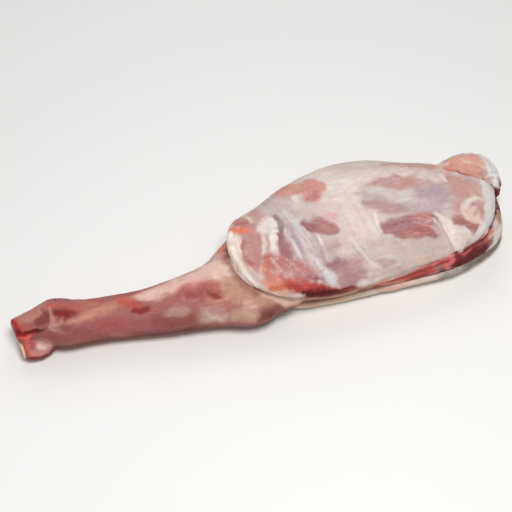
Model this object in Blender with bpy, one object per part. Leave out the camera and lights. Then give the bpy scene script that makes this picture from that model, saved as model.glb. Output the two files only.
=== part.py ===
"""Raw lamb shoulder with the whole shank on, lying skin side down.

Three closed solids: the meat (shank, blade muscles, folded flap and wrist, all one piece), the fat
cover that the blade end lies on, and the bone end that shows in the cut of the shank.
Metres. +X runs from the cut shank to the blade end, +Y is the back edge, +Z is up.
"""

import math

import bmesh
import bpy
import numpy as np
from mathutils import Vector

# Driving dimensions
BLADE_TOP = 0.057  # height of the blade end over the surface that it lies on
BLADE_MIDDLE = (0.108, -0.006)  # x and y of the middle of the blade end
BLADE_HALF_SIZES = (0.112, 0.062)
FALL_TO_BLADE = 0.010  # how much lower the top is at the blade edge than in the middle
FALL_TO_SHANK = 0.002
FALL_TO_SIDES = 0.009
FAT_THICKNESS = 0.006  # fat cover under the middle of the blade
FAT_RIM_RISE = 0.013  # how much further the fat climbs round the edge
UNDERSIDE_LIFT = 0.006  # how far the skin side curls up off the surface at the edge
UNDERSIDE_FLAT = 0.72  # share of the way from the middle to the edge over which it lies flat
FAT_OVERLAP = 0.0012  # how far the fat stands out past the meat in it
SEAM_HEIGHT = 0.031  # where the upper muscle sheet meets the lower muscles at the edge
SEAM_AT_SHANK = 0.042  # the same, where the sheet runs over the top of the shank
SEAM_AT_ELBOW = 0.020  # along the front edge beside the elbow
SEAM_AT_BACK = 0.018  # and along the back edge, where the sheet hangs furthest down
SEAM_OVERLAP = 0.006  # how far the lower muscles reach up into the sheet
LOWER_FOOT = 0.003  # where the lower muscles start, inside the fat's place
SHEET_EDGE = 0.012  # radius of the upper sheet's rounded edge
LOWER_EDGE = 0.009
FAT_EDGE = 0.009
CUTTER_DROP = 0.02  # how far the cutter for the fat's place reaches down past the meat
SHANK_CUT_X = -0.2102  # the sawn end of the shank
SHANK_CUT_LEAN = 8  # degrees that the cut face leans back at its front edge
BONE_RADIUS = 0.0066
BONE_LENGTH = 0.026
BONE_STANDS_OUT = 0.0008  # how far the sawn bone stands out of the meat round it
BONE_RIM = 0.0009  # how far its rims are worn round
BONE_AT = (-0.0215, 0.0115)  # y and z of its middle in the cut face
UPPER_ARM_MIDDLE = (0.0020, -0.0180, 0.0235)  # the mass under the sheet that the shank grows out of
UPPER_ARM_HALF_SIZES = (0.0400, 0.0460, 0.0215)
WRIST_MIDDLE = (-0.1950, -0.0205, 0.0112)  # the knuckle on the near side of the shank's end
WRIST_HALF_SIZES = (0.0165, 0.0112, 0.0108)
PIECE_GAP = 0.0003  # clearance between touching solids
SHANK_SIDES = 36
SHANK_SPACING = 0.006  # between its rings
FLAP_SIDES = 20
FLAP_SPACING = 0.0055
OUTLINE_POINTS = 76
SIDE_RINGS = 6  # an even number, so that one ring runs round at the widest height

# Cross-sections of the shank, cut end first: x, y and z of the middle, half width, half height
SHANK_SECTIONS = (
    (-0.2160, -0.0080, 0.0225, 0.0080, 0.0080),
    (-0.2070, -0.0075, 0.0225, 0.0095, 0.0095),
    (-0.1920, -0.0090, 0.0220, 0.0140, 0.0135),
    (-0.1790, -0.0110, 0.0210, 0.0198, 0.0198),
    (-0.1690, -0.0130, 0.0208, 0.0208, 0.0206),
    (-0.1520, -0.0168, 0.0192, 0.0184, 0.0184),
    (-0.1300, -0.0208, 0.0194, 0.0184, 0.0184),
    (-0.1050, -0.0262, 0.0206, 0.0196, 0.0196),
    (-0.0850, -0.0292, 0.0224, 0.0216, 0.0214),
    (-0.0650, -0.0305, 0.0236, 0.0242, 0.0226),
    (-0.0450, -0.0295, 0.0226, 0.0300, 0.0218),
    (-0.0300, -0.0265, 0.0218, 0.0395, 0.0210),
    (-0.0140, -0.0225, 0.0208, 0.0445, 0.0200),
    (0.0020, -0.0220, 0.0195, 0.0380, 0.0180),
    (0.0300, -0.0220, 0.0180, 0.0260, 0.0130),
)

# Outline of the upper muscle sheet seen from above, from its shank end round by the front edge
SHEET_OUTLINE = (
    (-0.0180, 0.0165), (-0.0225, -0.0030), (-0.0232, -0.0260), (-0.0175, -0.0470),
    (-0.0040, -0.0610), (0.0200, -0.0670), (0.0600, -0.0700), (0.1050, -0.0710),
    (0.1450, -0.0680), (0.1760, -0.0610), (0.1970, -0.0450), (0.2090, -0.0260),
    (0.2135, -0.0110), (0.2050, 0.0050), (0.1900, 0.0170), (0.1700, 0.0275),
    (0.1480, 0.0370), (0.1200, 0.0530), (0.0850, 0.0590), (0.0450, 0.0495),
    (0.0080, 0.0315),
)

# Outline of the lower muscles, which stand out past the sheet at the blade end
LOWER_OUTLINE = (
    (0.0000, 0.0150), (-0.0040, -0.0200), (0.0040, -0.0510), (0.0360, -0.0580),
    (0.0790, -0.0620), (0.1210, -0.0680), (0.1560, -0.0695), (0.1860, -0.0610),
    (0.2045, -0.0515), (0.2125, -0.0370), (0.2175, -0.0180), (0.2190, 0.0040),
    (0.2140, 0.0260), (0.1900, 0.0330), (0.1600, 0.0390), (0.1300, 0.0515),
    (0.0900, 0.0565), (0.0450, 0.0475), (0.0150, 0.0330),
)

# The flap folded over the far corner: x, y and z of the middle, half width, half height
FLAP_SECTIONS = (
    (0.1720, 0.0200, 0.0420, 0.0020, 0.0020),
    (0.1840, 0.0185, 0.0425, 0.0075, 0.0085),
    (0.1970, 0.0155, 0.0420, 0.0120, 0.0120),
    (0.2080, 0.0090, 0.0415, 0.0130, 0.0135),
    (0.2145, -0.0035, 0.0400, 0.0095, 0.0120),
    (0.2155, -0.0145, 0.0380, 0.0050, 0.0080),
    (0.2140, -0.0210, 0.0370, 0.0015, 0.0030),
)

# Muscles that swell under the sheet: x, y, half length, half width, turn in degrees, rise
SHEET_SWELLS = (
    (0.0050, -0.0280, 0.0260, 0.0140, 70, 0.0022),
    (0.0450, -0.0300, 0.0400, 0.0160, 35, 0.0025),
    (0.0650, 0.0250, 0.0400, 0.0160, 10, 0.0020),
    (0.1300, 0.0200, 0.0450, 0.0090, -8, 0.0024),
    (0.1350, -0.0170, 0.0360, 0.0130, -4, 0.0028),
    (0.1000, -0.0480, 0.0450, 0.0110, -2, 0.0020),
    (0.1900, -0.0200, 0.0180, 0.0200, 20, 0.0024),
)


def remove_all_objects():
    for thing in list(bpy.data.objects):
        bpy.data.objects.remove(thing)


def material(name, colour, roughness):
    made = bpy.data.materials.new(name)
    made.use_nodes = True
    surface = made.node_tree.nodes["Principled BSDF"]
    surface.inputs["Base Color"].default_value = (*colour, 1)
    surface.inputs["Roughness"].default_value = roughness
    return made


def catmull_rom(before, start, end, after, share):
    """The point that lies that share of the way from start to end on a smooth curve."""
    a = 2 * start
    b = end - before
    c = 2 * before - 5 * start + 4 * end - after
    d = 3 * start - before - 3 * end + after
    return (a + b * share + c * share**2 + d * share**3) / 2


def smooth_rows(rows, spacing):
    """Rows of numbers filled in along a smooth curve, at about that spacing in x and y."""
    rows = np.array(rows)
    filled = []
    for i in range(len(rows) - 1):
        before, after = rows[max(i - 1, 0)], rows[min(i + 2, len(rows) - 1)]
        run = np.linalg.norm(rows[i + 1][:2] - rows[i][:2])
        steps = max(1, round(run / spacing))
        filled += [catmull_rom(before, rows[i], rows[i + 1], after, k / steps) for k in range(steps)]
    return np.array(filled + [rows[-1]])


def smooth_outline(points, count):
    """A closed smooth curve through the points, as evenly spaced points in plan."""
    points = np.array(points)
    fine = []
    for i in range(len(points)):
        around = [points[(i + k) % len(points)] for k in (-1, 0, 1, 2)]
        fine += [catmull_rom(*around, k / 12) for k in range(12)]
    fine = np.array(fine + [fine[0]])
    along = np.concatenate([[0], np.cumsum(np.linalg.norm(np.diff(fine, axis=0), axis=1))])
    wanted = np.linspace(0, along[-1], count, endpoint=False)
    return np.stack([np.interp(wanted, along, fine[:, k]) for k in (0, 1)], axis=1)


def inward_normals(outline):
    tangent = np.roll(outline, -1, axis=0) - np.roll(outline, 1, axis=0)
    normal = np.stack([-tangent[:, 1], tangent[:, 0]], axis=1)
    normal /= np.linalg.norm(normal, axis=1)[:, None]
    to_middle = outline.mean(axis=0) - outline
    return normal if (normal * to_middle).sum() > 0 else -normal


def object_from_rings(name, rings, look):
    """A closed body from rings of equal count, each joined to the next, with both ends filled.
    All faces are triangles, so that a body and its cutter are split alike."""
    mesh = bmesh.new()
    loops = [[mesh.verts.new(Vector(point)) for point in ring] for ring in rings]
    count = len(loops[0])
    for lower, upper in zip(loops, loops[1:]):
        for i in range(count):
            k = (i + 1) % count
            mesh.faces.new((lower[i], lower[k], upper[k]))
            mesh.faces.new((lower[i], upper[k], upper[i]))
    for end in (loops[0], loops[-1]):
        middle = mesh.verts.new(sum((v.co for v in end), Vector()) / count)
        for i in range(count):
            mesh.faces.new((end[i], end[(i + 1) % count], middle))
    bmesh.ops.recalc_face_normals(mesh, faces=mesh.faces)
    data = bpy.data.meshes.new(name)
    mesh.to_mesh(data)
    mesh.free()
    data.materials.append(look)
    data.shade_smooth()
    made = bpy.data.objects.new(name, data)
    bpy.context.scene.collection.objects.link(made)
    return made


def cushion(name, outline, low, high, edge, top_rings, look, grow=0.0, drop=0.0):
    """A flat body with that outline and a rounded side. low and high give its lower and upper
    height at a place in plan, and edge is how far its rounded side reaches inwards. grow widens
    the outline, and drop pushes the lower half straight down, which makes it a cutter."""
    outline = smooth_outline(outline, OUTLINE_POINTS)
    inward = inward_normals(outline)
    outline = outline - inward * grow
    middle = outline.mean(axis=0)
    rings = []

    def ring(places, share, lowered=0.0):
        heights = [low(x, y) + (high(x, y) - low(x, y)) * share - lowered for x, y in places]
        rings.append(np.column_stack([places, heights]))

    side_foot = outline + inward * edge
    for k in range(1, 4):
        ring(middle + (side_foot - middle) * k / 4, 0, drop)
    for k in range(SIDE_RINGS + 1):
        turn = math.pi * (k / SIDE_RINGS - 0.5)
        inset = 0.0 if drop and turn < 0 else edge * (1 - math.cos(turn))
        ring(outline + inward * inset, (1 + math.sin(turn)) / 2, drop if turn < 0 else 0.0)
    for k in range(top_rings, 0, -1):
        ring(middle + (side_foot - middle) * k / (top_rings + 1), 1)
    return object_from_rings(name, rings, look)


def roll(name, sections, sides, spacing, look, follows_curve=False):
    """A round body along a curve, flat underneath where it would go below the surface. Its
    sections stand square to X, or square to the curve that their middles make in plan."""
    rows = smooth_rows(sections, spacing)
    ahead = np.tile((1.0, 0.0), (len(rows), 1))
    if follows_curve:
        ahead = np.gradient(rows[:, :2], axis=0)
    ahead /= np.linalg.norm(ahead, axis=1)[:, None]
    rings = []
    for (x, y, z, half_width, half_height), (dx, dy) in zip(rows, ahead):
        ring = []
        for k in range(sides):
            turn = 2 * math.pi * k / sides
            out, up = half_width * math.cos(turn), half_height * math.sin(turn)
            ring.append((x - dy * out, y + dx * out, max(0.0, z + up)))
        rings.append(ring)
    return object_from_rings(name, rings, look)


def knob(name, middle, half_sizes, look):
    """An egg-shaped body, flat underneath where it would go below the surface."""
    bpy.ops.mesh.primitive_uv_sphere_add(segments=24, ring_count=14, radius=1)
    made = bpy.context.object
    made.name = made.data.name = name
    for vertex in made.data.vertices:
        x, y, z = (middle[i] + vertex.co[i] * half_sizes[i] for i in range(3))
        vertex.co = (x, y, max(0.0, z))
    made.data.materials.append(look)
    made.data.shade_smooth()
    return made


def swell(x, y, bump):
    """Height that one long round muscle adds at a place in plan."""
    middle_x, middle_y, half_length, half_width, turn, rise = bump
    cos, sin = math.cos(math.radians(turn)), math.sin(math.radians(turn))
    along = ((x - middle_x) * cos + (y - middle_y) * sin) / half_length
    across = (-(x - middle_x) * sin + (y - middle_y) * cos) / half_width
    return rise * math.exp(-(along**2 + across**2))


def clamp(share):
    return max(0.0, min(1.0, share))


def from_middle(x, y):
    """Where a place lies between the middle of the blade end and its edges, along and across."""
    return (x - BLADE_MIDDLE[0]) / BLADE_HALF_SIZES[0], (y - BLADE_MIDDLE[1]) / BLADE_HALF_SIZES[1]


def sheet_top(x, y):
    """Upper surface of the blade end: highest in the middle, lower towards the blade edge."""
    along, across = from_middle(x, y)
    fall = FALL_TO_BLADE * max(0.0, along) ** 2
    fall += FALL_TO_SHANK * max(0.0, -along - 0.5) * 2
    fall += FALL_TO_SIDES * across**2
    return BLADE_TOP - fall + sum(swell(x, y, bump) for bump in SHEET_SWELLS)


def seam(x, y):
    """Height of the crease under the upper sheet: over the shank's top at the near end, and low
    down beside the elbow and along the back edge."""
    to_shank = clamp((0.010 - x) / 0.030)
    to_elbow = math.exp(-(((x - 0.045) / 0.036) ** 2)) * clamp((-y - 0.030) / 0.030)
    to_back = clamp((y - 0.005) / 0.025) * clamp((x + 0.015) / 0.030)
    height = SEAM_HEIGHT + (SEAM_AT_SHANK - SEAM_HEIGHT) * to_shank
    height += (SEAM_AT_ELBOW - height) * to_elbow
    return height + (SEAM_AT_BACK - height) * to_back


def edge_share(x, y):
    """0 in the middle of the blade end in plan, about 1 round its edge."""
    along, across = from_middle(x, y)
    return min(1.3, (along**4 + across**4) ** 0.25)


def fat_low(x, y):
    """The skin side: flat where it rests, curling up towards its edge."""
    return UNDERSIDE_LIFT * clamp((edge_share(x, y) - UNDERSIDE_FLAT) / (1 - UNDERSIDE_FLAT)) ** 2


def fat_top(x, y):
    """The fat cover is a shallow dish that the meat sits in."""
    return FAT_THICKNESS + FAT_RIM_RISE * edge_share(x, y) ** 5


def meat_foot(x, y):
    """Underside of the meat once the fat's place is cut out of it."""
    return fat_top(x, y) + PIECE_GAP


def lower_foot(x, y):
    return LOWER_FOOT


def lower_top(x, y):
    return seam(x, y) + SEAM_OVERLAP


def combine(target, others, operation):
    """Joins the other objects to the target, or cuts them out of it, in one Boolean."""
    group = bpy.data.collections.new("operands")
    for other in others:
        group.objects.link(other)
    modifier = target.modifiers.new(operation.title(), "BOOLEAN")
    modifier.operation = operation
    modifier.solver = "EXACT"
    modifier.operand_type = "COLLECTION"
    modifier.collection = group
    bpy.context.view_layer.objects.active = target
    bpy.ops.object.modifier_apply(modifier=modifier.name)
    for other in others:
        bpy.data.objects.remove(other)
    bpy.data.collections.remove(group)


def make_fat_cover(look):
    return cushion("fat_cover", LOWER_OUTLINE, fat_low, fat_top, FAT_EDGE, 5, look, FAT_OVERLAP)


def make_fat_cutter(look):
    """The fat cover and the gap round it, reaching far down, so that no meat is left below it."""
    grow = FAT_OVERLAP + PIECE_GAP
    outline = LOWER_OUTLINE
    return cushion("fat_cutter", outline, fat_low, meat_foot, FAT_EDGE, 5, look, grow, CUTTER_DROP)


def saw_off_shank(shoulder):
    """Cuts the wrist end flat, with the cut leaning back at its front edge."""
    lean = math.radians(SHANK_CUT_LEAN)
    mesh = bmesh.new()
    mesh.from_mesh(shoulder.data)
    cut = bmesh.ops.bisect_plane(
        mesh,
        geom=mesh.verts[:] + mesh.edges[:] + mesh.faces[:],
        plane_co=(SHANK_CUT_X, 0, 0.02),
        plane_no=(-math.cos(lean), -math.sin(lean), 0),
        clear_outer=True,
    )
    rim = [item for item in cut["geom_cut"] if isinstance(item, bmesh.types.BMEdge)]
    bmesh.ops.contextual_create(mesh, geom=rim)
    mesh.to_mesh(shoulder.data)
    mesh.free()


def make_bone(name, look, grow=0.0):
    """The sawn bone, a short round bar that stands square to the cut. Grown, it cuts its socket."""
    lean = math.radians(SHANK_CUT_LEAN)
    y, z = BONE_AT
    inward = Vector((math.cos(lean), math.sin(lean), 0))
    face = Vector((SHANK_CUT_X - y * math.tan(lean), y, z)) - inward * BONE_STANDS_OUT
    bpy.ops.mesh.primitive_cylinder_add(
        vertices=28,
        radius=BONE_RADIUS + grow,
        depth=BONE_LENGTH + 2 * grow,
        location=face + inward * BONE_LENGTH / 2,
        rotation=(0, math.pi / 2, lean),
    )
    bone = bpy.context.object
    bone.name = bone.data.name = name
    bone.data.materials.append(look)
    bone.data.shade_smooth()
    bone.data.set_sharp_from_angle(angle=math.radians(40))
    return bone


def round_rims(bone):
    bevel = bone.modifiers.new("Worn rims", "BEVEL")
    bevel.width = BONE_RIM
    bevel.segments = 2
    bevel.limit_method = "ANGLE"


def make_shoulder(look):
    shoulder = roll("shoulder", SHANK_SECTIONS, SHANK_SIDES, SHANK_SPACING, look)
    upper_arm = knob("upper_arm", UPPER_ARM_MIDDLE, UPPER_ARM_HALF_SIZES, look)
    wrist = knob("wrist", WRIST_MIDDLE, WRIST_HALF_SIZES, look)
    lower = cushion("lower", LOWER_OUTLINE, lower_foot, lower_top, LOWER_EDGE, 2, look)
    sheet = cushion("sheet", SHEET_OUTLINE, seam, sheet_top, SHEET_EDGE, 8, look)
    flap = roll("flap", FLAP_SECTIONS, FLAP_SIDES, FLAP_SPACING, look, follows_curve=True)
    combine(shoulder, [upper_arm, wrist, lower, sheet, flap], "UNION")
    saw_off_shank(shoulder)
    combine(shoulder, [make_fat_cutter(look), make_bone("bone_cutter", look, PIECE_GAP)], "DIFFERENCE")
    return shoulder


def centre_over_origin():
    """Moves everything so that the origin is under the middle of the whole, on the surface."""
    bpy.context.view_layer.update()
    things = [thing for thing in bpy.data.objects if thing.type == "MESH"]
    corners = [thing.matrix_world @ Vector(corner) for thing in things for corner in thing.bound_box]
    corners = np.array(corners)
    low, high = corners.min(axis=0), corners.max(axis=0)
    for thing in things:
        thing.location -= Vector(((low[0] + high[0]) / 2, (low[1] + high[1]) / 2, low[2]))


def main():
    remove_all_objects()
    lean = material("lean_meat", (0.62, 0.30, 0.28), 0.35)
    fat = material("fat", (0.86, 0.80, 0.70), 0.45)
    cut_bone = material("cut_bone", (0.80, 0.45, 0.34), 0.5)
    make_shoulder(lean)
    make_fat_cover(fat)
    round_rims(make_bone("shank_bone", cut_bone))
    centre_over_origin()


main()
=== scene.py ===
import math

import bpy
import numpy as np
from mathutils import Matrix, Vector, noise


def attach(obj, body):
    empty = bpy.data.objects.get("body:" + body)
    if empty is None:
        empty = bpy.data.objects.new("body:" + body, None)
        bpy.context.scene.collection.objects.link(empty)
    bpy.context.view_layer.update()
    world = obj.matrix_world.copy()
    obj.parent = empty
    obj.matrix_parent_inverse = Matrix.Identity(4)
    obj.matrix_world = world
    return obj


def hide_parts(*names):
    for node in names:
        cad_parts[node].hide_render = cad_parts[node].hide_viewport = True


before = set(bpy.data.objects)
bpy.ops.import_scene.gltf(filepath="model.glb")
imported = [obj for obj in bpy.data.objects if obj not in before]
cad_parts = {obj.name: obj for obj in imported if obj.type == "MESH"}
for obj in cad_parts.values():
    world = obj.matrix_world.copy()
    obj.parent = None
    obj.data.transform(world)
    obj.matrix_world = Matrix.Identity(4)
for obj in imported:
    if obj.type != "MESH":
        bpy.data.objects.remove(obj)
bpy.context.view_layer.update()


# small helpers

def srgb(red, green, blue):  # screen values 0 to 255 to scene values
    channels = (red / 255, green / 255, blue / 255)
    return tuple(c / 12.92 if c <= 0.04 else ((c + 0.055) / 1.055) ** 2.4 for c in channels)


def pick(*things):
    bpy.ops.object.select_all(action="DESELECT")
    for thing in things:
        thing.select_set(True)
    bpy.context.view_layer.objects.active = things[0]


def shapeWith(thing, kind, **settings):
    pick(thing)
    modifier = thing.modifiers.new(kind.title(), kind)
    for key, value in settings.items():
        setattr(modifier, key, value)
    bpy.ops.object.modifier_apply(modifier=modifier.name)


def copyOfNode(nodeName, pieceName):
    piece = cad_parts[nodeName].copy()
    piece.data = piece.data.copy()
    piece.parent = None
    piece.name = piece.data.name = pieceName
    bpy.context.scene.collection.objects.link(piece)
    pick(piece)
    bpy.ops.object.mode_set(mode="EDIT")
    bpy.ops.mesh.select_all(action="SELECT")
    bpy.ops.mesh.remove_doubles(threshold=0.00002)
    bpy.ops.object.mode_set(mode="OBJECT")
    return piece


def readPoints(thing):
    count = len(thing.data.vertices)
    places, normals = np.empty(count * 3, np.float32), np.empty(count * 3, np.float32)
    thing.data.vertices.foreach_get("co", places)
    thing.data.vertices.foreach_get("normal", normals)
    return places.reshape(-1, 3) * 1000.0, normals.reshape(-1, 3)  # places in mm


def writePoints(thing, places):
    thing.data.vertices.foreach_set("co", (places / 1000.0).astype(np.float32).ravel())
    thing.data.update()


def writeColours(thing, name, values):
    layer = thing.data.color_attributes.new(name, "FLOAT_COLOR", "POINT")
    four = np.ones((len(values), 4), np.float32)
    four[:, :3] = np.clip(values, 0, 1)
    layer.data.foreach_set("color", four.ravel())


def grain(places, size, seed):  # smooth noise, about -1 to 1, with lumps of that size in mm
    shift = Vector((seed * 17.3, seed * 5.1, seed * 9.7))
    return np.array([noise.noise(Vector(p) / size + shift) for p in places.tolist()]) * 1.6


def streaks(places, turn, long, thin, seed):  # noise drawn out along a direction in plan, in degrees from +X
    c, s = math.cos(math.radians(turn)), math.sin(math.radians(turn))
    along, across = places[:, 0] * c + places[:, 1] * s, places[:, 1] * c - places[:, 0] * s
    return grain(np.stack([along / long, across / thin, places[:, 2] / thin], axis=1), 1.0, seed)


def ramp(values, low, high):
    share = np.clip((values - low) / (high - low), 0.0, 1.0)
    return share * share * (3 - 2 * share)


def insidePath(points, path):  # how far each point is inside a line of changing width, in mm
    best = np.full(len(points), -1e3)
    for start, end in zip(path, path[1:] or path):
        a, b = np.array(start[:-1], float), np.array(end[:-1], float)
        run = b - a
        share = np.clip((points - a) @ run / max(float(run @ run), 1e-6), 0.0, 1.0)
        away = np.linalg.norm(points - a - share[:, None] * run, axis=1)
        best = np.maximum(best, (start[-1] + (end[-1] - start[-1]) * share) / 2 - away)
    return best


def hollowness(thing, places, normals, rounds):  # above 0 in creases, below 0 on ridges, in mm
    ends = np.empty(len(thing.data.edges) * 2, np.int32)
    thing.data.edges.foreach_get("vertices", ends)
    a, b = ends.reshape(-1, 2).T
    count = len(places)
    links = np.bincount(a, minlength=count) + np.bincount(b, minlength=count)
    smooth = places.copy()
    for _ in range(rounds):
        total = [np.bincount(a, smooth[b, axis], count) + np.bincount(b, smooth[a, axis], count)
                 for axis in range(3)]
        smooth = np.stack(total, axis=1) / links[:, None]
    return ((smooth - places) * normals).sum(axis=1)


# tissues: screen colour, muscle fibre, wet gloss

tissues = {
    "shank": ((168, 106, 98), 0.7, 0.1), "mauve": ((158, 88, 90), 0.8, 0.12),
    "plumLean": ((146, 80, 82), 0.8, 0.12), "tan": ((198, 136, 114), 0.4, 0.1),
    "pinkTan": ((226, 186, 172), 0.3, 0.15), "cream": ((228, 198, 182), 0.15, 0.2),
    "red": ((186, 78, 71), 0.8, 0.12), "brightRed": ((208, 92, 84), 0.7, 0.3),
    "darkRed": ((128, 34, 31), 0.6, 0), "crevice": ((124, 8, 8), 0.3, 0),
    # the last entry below is a dark brown used as painted shade in creases, grooves and on undersides
    "brown": ((128, 66, 56), 0.5, 0), "shadeBrown": ((84, 34, 28), 0.4, 0),
    "tendon": ((196, 160, 150), 0.1, 0.5), "shinyTendon": ((202, 178, 166), 0, 1),
    "elbow": ((200, 170, 146), 0.2, 0.15), "elbowTan": ((188, 148, 125), 0.4, 0.15),
    "ruddy": ((214, 148, 126), 0.5, 0.2), "shadeTan": ((146, 98, 82), 0.3, 0.1),
    "lobeTan": ((188, 128, 114), 0.3, 0.15), "lobeRed": ((186, 80, 76), 0.3, 0.4),
    "lobeWhite": ((192, 150, 140), 0.1, 0.5), "cutRed": ((176, 44, 42), 0.2, 0.4),
    "bulge": ((238, 102, 98), 0.2, 0.6), "berry": ((186, 60, 84), 0.2, 0.7),
    "base": ((211, 192, 185), 0.1, 0.45), "fascia": ((224, 210, 201), 0, 0.45),
    "warmFascia": ((218, 199, 187), 0, 0.4), "greyFilm": ((199, 182, 172), 0.05, 0.4),
    "lilac": ((190, 172, 170), 0.2, 0.7), "silver": ((207, 195, 193), 0.1, 0.7),
    "white": ((232, 221, 215), 0, 0.5), "glint": ((214, 210, 209), 0, 1),
    "lip": ((240, 227, 213), 0, 0.35), "rose": ((190, 136, 128), 0.6, 0.4),
    "palePink": ((210, 174, 165), 0.3, 0.4), "wine": ((172, 86, 86), 0.7, 0.4),
    "rust": ((228, 124, 92), 0.4, 0.5), "orange": ((202, 108, 84), 0.5, 0.3),
    "tanOrange": ((204, 148, 130), 0.5, 0.35), "salmon": ((210, 140, 126), 0.6, 0.4),
    "window": ((166, 108, 107), 0.8, 0.5), "redWindow": ((156, 84, 96), 0.8, 0.5),
    "purple": ((158, 100, 106), 0.8, 0.5), "plum": ((146, 94, 104), 0.6, 0.4),
    "dusk": ((176, 132, 128), 0.5, 0.5), "oval": ((192, 144, 139), 0.5, 0.4),
    "pinkOval": ((206, 148, 139), 0.6, 0.45), "bluish": ((186, 164, 169), 0.3, 0.6),
    "violet": ((172, 147, 158), 0.3, 0.6), "bigMuscle": ((164, 110, 113), 0.8, 0.4),
    "redMuscle": ((168, 104, 98), 0.8, 0.4), "grey": ((178, 163, 161), 0.1, 0.6),
    "shade": ((140, 112, 107), 0.2, 0.4), "pinkish": ((196, 146, 140), 0.4, 0.4),
    "pink": ((228, 158, 152), 0.3, 0.5), "curl": ((224, 194, 182), 0, 0.45),
    "rim": ((220, 215, 212), 0, 0.6), "redPatch": ((172, 62, 56), 0.6, 0.15),
    "tag": ((214, 110, 106), 0.4, 0.5), "fatTan": ((206, 163, 138), 0.1, 0.2),
    # the first entry below is dark red with painted shade, for seams and recesses
    "shadedSeamRed": ((84, 14, 11), 0.3, 0), "ochre": ((172, 116, 78), 0.2, 0.4),
    "flap": ((214, 162, 143), 0.4, 0.45), "flapPink": ((224, 140, 148), 0.2, 0.5),
    "flapPale": ((224, 182, 170), 0.2, 0.45), "cap": ((224, 224, 222), 0, 0.7),
    "fatSide": ((206, 190, 168), 0, 0.3), "fatShade": ((112, 102, 93), 0, 0),
    # the last entry below is a darker red used as painted shade on faces turned down
    "whiteFat": ((236, 231, 228), 0, 0.4), "undersideShade": ((150, 78, 70), 0.7, 0.1),
    "tornWhite": ((228, 214, 204), 0, 0.4), "outerRed": ((108, 34, 28), 0.4, 0),
    "ridge": ((194, 138, 126), 0.2, 0.2), "marrow": ((210, 92, 72), 0.2, 0.4),
    "bone": ((244, 214, 182), 0, 0.4), "roseDeep": ((180, 112, 106), 0.5, 0.4),
}

# marks: tissue, soft edge in mm, rise in mm, strength, line of (place, width) in mm

bladeTones = [  # from above, on the upper sheet
    ("palePink", 16, 0, 0.8, [(-20, 20, 16), (-16, -10, 26), (-12, -40, 22)]),
    ("lilac", 14, 0, 0.9, [(12, 30, 20), (16, 10, 26), (23, -15, 26), (28, -40, 24), (33, -55, 18)]),
    ("fascia", 16, 0, 0.9, [(66, 40, 30), (76, 15, 34), (72, -10, 26), (78, -32, 20)]),
    ("fascia", 12, 0, 0.7, [(84, 30, 20), (112, 28, 12), (136, 18, 8)]),
    ("warmFascia", 12, 0, 0.8, [(60, 4, 12), (64, -18, 14), (68, -40, 12), (74, -54, 8)]),
    ("silver", 10, 0, 0.8, [(92, 8, 12), (118, -4, 14), (150, -18, 14)]),
    ("greyFilm", 12, 0, 0.9, [(74, -46, 22), (98, -54, 24), (124, -58, 18)]),
    ("greyFilm", 10, 0, 0.6, [(38, 2, 12), (41, -28, 16), (44, -40, 14)]),
    ("pinkish", 14, 0.2, 0.9, [(168, 4, 16), (175, -14, 30), (168, -34, 28)]),
]

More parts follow.
